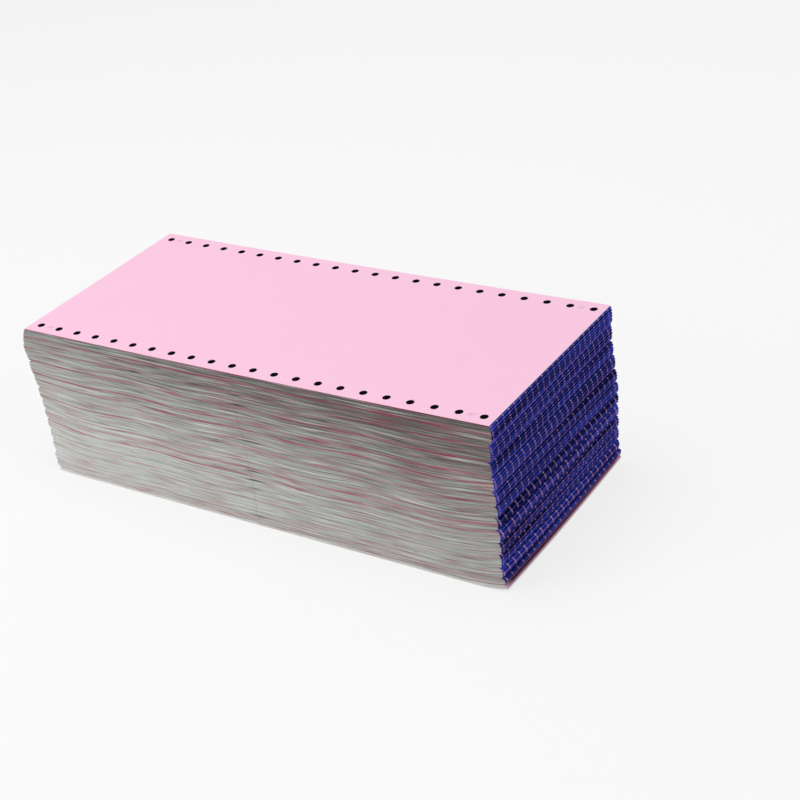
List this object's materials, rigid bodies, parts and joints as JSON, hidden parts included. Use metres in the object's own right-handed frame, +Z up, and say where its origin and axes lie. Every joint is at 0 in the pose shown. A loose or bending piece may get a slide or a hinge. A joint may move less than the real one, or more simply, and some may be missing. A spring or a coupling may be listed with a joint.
{
  "type": "continuous computer paper",
  "caption": "Stack of fan-fold two-ply computer forms, pink top ply, with punched feed holes down both long edges and perforated folds at both ends.",
  "frame": {"origin": "centre of the bounding box in plan, at the underside that the stack rests on", "axes": "+X along the forms from one folded end to the other, +Y across the forms between the punched long edges, +Z up through the stack"},
  "size_m": [0.2852, 0.1212, 0.09],
  "materials": {
    "paper": "matt uncoated two-ply carbonless paper, pink on top, grey-white with rose lines along the cut long edges, and blue-violet with pink dashes at the folded ends"
  },
  "bodies": {
    "root": {"fan_fold_stack": "paper"}
  },
  "joints": []
}
